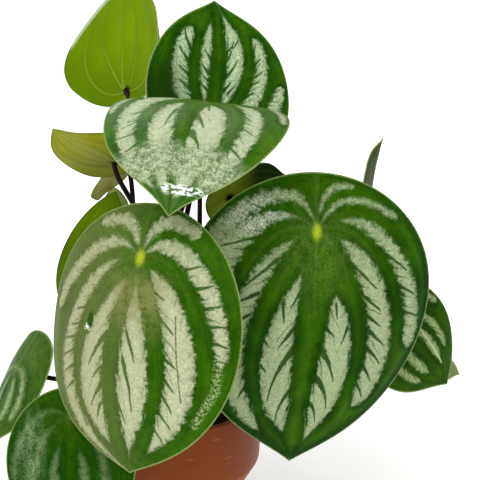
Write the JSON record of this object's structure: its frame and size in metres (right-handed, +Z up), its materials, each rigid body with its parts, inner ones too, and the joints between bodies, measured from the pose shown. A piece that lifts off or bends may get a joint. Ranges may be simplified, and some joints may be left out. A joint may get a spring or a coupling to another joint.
{
  "type": "potted peperomia",
  "caption": "Potted peperomia: a clump of broad, pointed leaves with dark green and silver stripes, on thin dark red stems, in a plain brown pot with a deep collar.",
  "frame": {"origin": "middle of the pot's flat foot, on the surface that the pot stands on", "axes": "+Z up the pot's axis, -Y towards the front of the plant, which the two largest leaves face, +X to the right seen from the front"},
  "size_m": [0.2298, 0.202, 0.2676],
  "materials": {
    "pot": "satin moulded plastic, faintly streaked round the collar",
    "soil": "damp, crumbly potting soil",
    "stock": "rough, scarred stem base",
    "stem": "smooth, fleshy, dark red",
    "leaf": "fleshy blade, satin, dark green bands between silver ones, pale green below"
  },
  "bodies": {
    "root": {"pot": "pot", "soil": "soil", "stock": "stock", "leaf_front_left": "leaf", "stem_front_left": "stem", "leaf_front_right": "leaf", "stem_front_right": "stem", "leaf_middle_top": "leaf", "stem_middle_top": "stem", "leaf_upright": "leaf", "stem_upright": "stem", "leaf_high_left": "leaf", "stem_high_left": "stem", "leaf_side_left": "leaf", "stem_side_left": "stem", "leaf_small_left": "leaf", "stem_small_left": "stem", "leaf_inner_left": "leaf", "stem_inner_left": "stem", "leaf_shade_left": "leaf", "stem_shade_left": "stem", "leaf_far_left": "leaf", "stem_far_left": "stem", "leaf_low_left": "leaf", "stem_low_left": "stem", "leaf_right": "leaf", "stem_right": "stem", "leaf_small_right": "leaf", "stem_small_right": "stem", "leaf_edge_right": "leaf", "stem_edge_right": "stem", "leaf_inner_right": "leaf", "stem_inner_right": "stem", "leaf_behind_top": "leaf", "stem_behind_top": "stem", "leaf_back_right": "leaf", "stem_back_right": "stem", "leaf_back_left": "leaf", "stem_back_left": "stem", "leaf_back_top": "leaf", "stem_back_top": "stem", "leaf_low_back_right": "leaf", "stem_low_back_right": "stem", "leaf_low_back": "leaf", "stem_low_back": "stem", "leaf_low_back_left": "leaf", "stem_low_back_left": "stem"}
  },
  "joints": []
}
